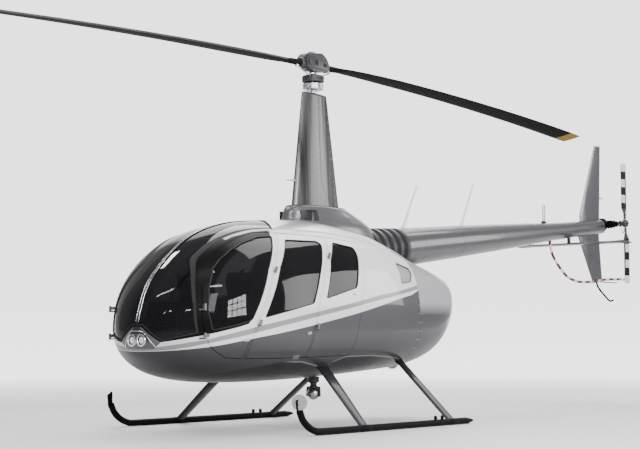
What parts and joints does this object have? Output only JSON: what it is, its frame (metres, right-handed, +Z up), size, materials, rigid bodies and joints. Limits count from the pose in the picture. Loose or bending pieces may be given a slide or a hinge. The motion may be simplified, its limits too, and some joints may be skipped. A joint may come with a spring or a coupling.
{
  "type": "light turbine helicopter",
  "caption": "Light single-turbine helicopter on skids, with a glazed cabin, a tall streamlined mast, a two-blade main rotor and a long tail boom.",
  "frame": {"origin": "middle of the machine's box, on the ground between the skids", "axes": "+X to port (left), +Y aft, +Z up"},
  "size_m": [2.326, 11.5104, 3.6094],
  "materials": {
    "grey_paint": "gloss metallic paint",
    "silver_paint": "gloss metallic paint",
    "white_paint": "gloss paint",
    "black_blade": "satin paint",
    "bare_metal": "brushed",
    "dark_metal": "satin black paint",
    "glass": "clear tinted acrylic",
    "striped_tube": "gloss paint with red and white bands",
    "seat_leather": "soft grained",
    "cabin_trim": "matte",
    "lamp_glass": "clear lens"
  },
  "bodies": {
    "airframe": {"aft_bulkhead": "cabin_trim", "aft_cowl": "grey_paint", "cabin_floor": "cabin_trim", "cabin_shell": "grey_paint", "cargo_hook": "dark_metal", "engine_block": "dark_metal", "fixed_swashplate": "bare_metal", "front_seat_port": "seat_leather", "front_seat_starboard": "seat_leather", "gear_leg_front_port": "grey_paint", "gear_leg_front_starboard": "grey_paint", "gear_leg_rear_port": "grey_paint", "gear_leg_rear_starboard": "grey_paint", "instrument_console": "cabin_trim", "landing_lamp_port": "lamp_glass", "landing_lamp_starboard": "lamp_glass", "louvre_cowl": "dark_metal", "lower_fin": "grey_paint", "mast_base_cowl": "silver_paint", "mast_fairing": "silver_paint", "nose_light_housing": "grey_paint", "quarter_glass_starboard": "glass", "rear_seat": "seat_leather", "roof_panel": "silver_paint", "skid_port": "dark_metal", "skid_starboard": "dark_metal", "stabiliser": "grey_paint", "tail_boom": "grey_paint", "tail_gearbox": "dark_metal", "tail_guard": "striped_tube", "tail_skid": "dark_metal", "upper_fin": "grey_paint", "whip_aerial_front": "white_paint", "whip_aerial_rear": "white_paint", "windscreen_port": "glass", "windscreen_post": "silver_paint", "windscreen_starboard": "glass"},
    "main_rotor": {"main_blade_aft": "black_blade", "main_blade_forward": "black_blade", "rotor_hub": "bare_metal", "mast_shaft": "bare_metal", "turning_swashplate": "dark_metal"},
    "tail_rotor": {"tail_rotor_hub": "dark_metal", "tail_blade_upper": "white_paint", "tail_blade_lower": "white_paint"},
    "front_door_port": {"front_door_port": "white_paint", "front_door_glass_port": "glass"},
    "front_door_starboard": {"front_door_starboard": "white_paint", "front_door_glass_starboard": "glass"},
    "rear_door_port": {"rear_door_port": "white_paint", "rear_door_glass_port": "glass"},
    "rear_door_starboard": {"rear_door_starboard": "white_paint", "rear_door_glass_starboard": "glass"},
    "baggage_door_port": {"baggage_door_port": "white_paint", "baggage_door_glass_port": "glass"}
  },
  "joints": [
    {"name": "main_rotor_turn", "type": "hinge", "parent": "airframe", "child": "main_rotor", "pos_m": [0, -0.725, 3.48], "axis": [0, 0, 1], "continuous": true},
    {"name": "tail_rotor_turn", "type": "hinge", "parent": "airframe", "child": "tail_rotor", "pos_m": [0.328, 5.145, 2.281], "axis": [1, 0, 0], "continuous": true},
    {"name": "front_door_port_hinge", "type": "hinge", "parent": "airframe", "child": "front_door_port", "pos_m": [0.572, -2.837, 0.84], "axis": [0, 0, -1], "range_deg": [0, 80]},
    {"name": "front_door_starboard_hinge", "type": "hinge", "parent": "airframe", "child": "front_door_starboard", "pos_m": [-0.572, -2.837, 0.84], "axis": [0, 0, 1], "range_deg": [0, 80]},
    {"name": "rear_door_port_hinge", "type": "hinge", "parent": "airframe", "child": "rear_door_port", "pos_m": [0.794, -2.387, 0.95], "axis": [0.1056, -0.4901, -0.8652], "range_deg": [0, 80]},
    {"name": "rear_door_starboard_hinge", "type": "hinge", "parent": "airframe", "child": "rear_door_starboard", "pos_m": [-0.794, -2.387, 0.95], "axis": [0.1056, 0.4901, 0.8652], "range_deg": [0, 80]},
    {"name": "baggage_door_port_hinge", "type": "hinge", "parent": "airframe", "child": "baggage_door_port", "pos_m": [0.773, -1.597, 0.926], "axis": [0.1512, -0.4087, -0.9], "range_deg": [0, 80]}
  ],
  "couplings": [
    {"joint": "tail_rotor_turn", "follows": "main_rotor_turn", "ratio": -5.95}
  ]
}
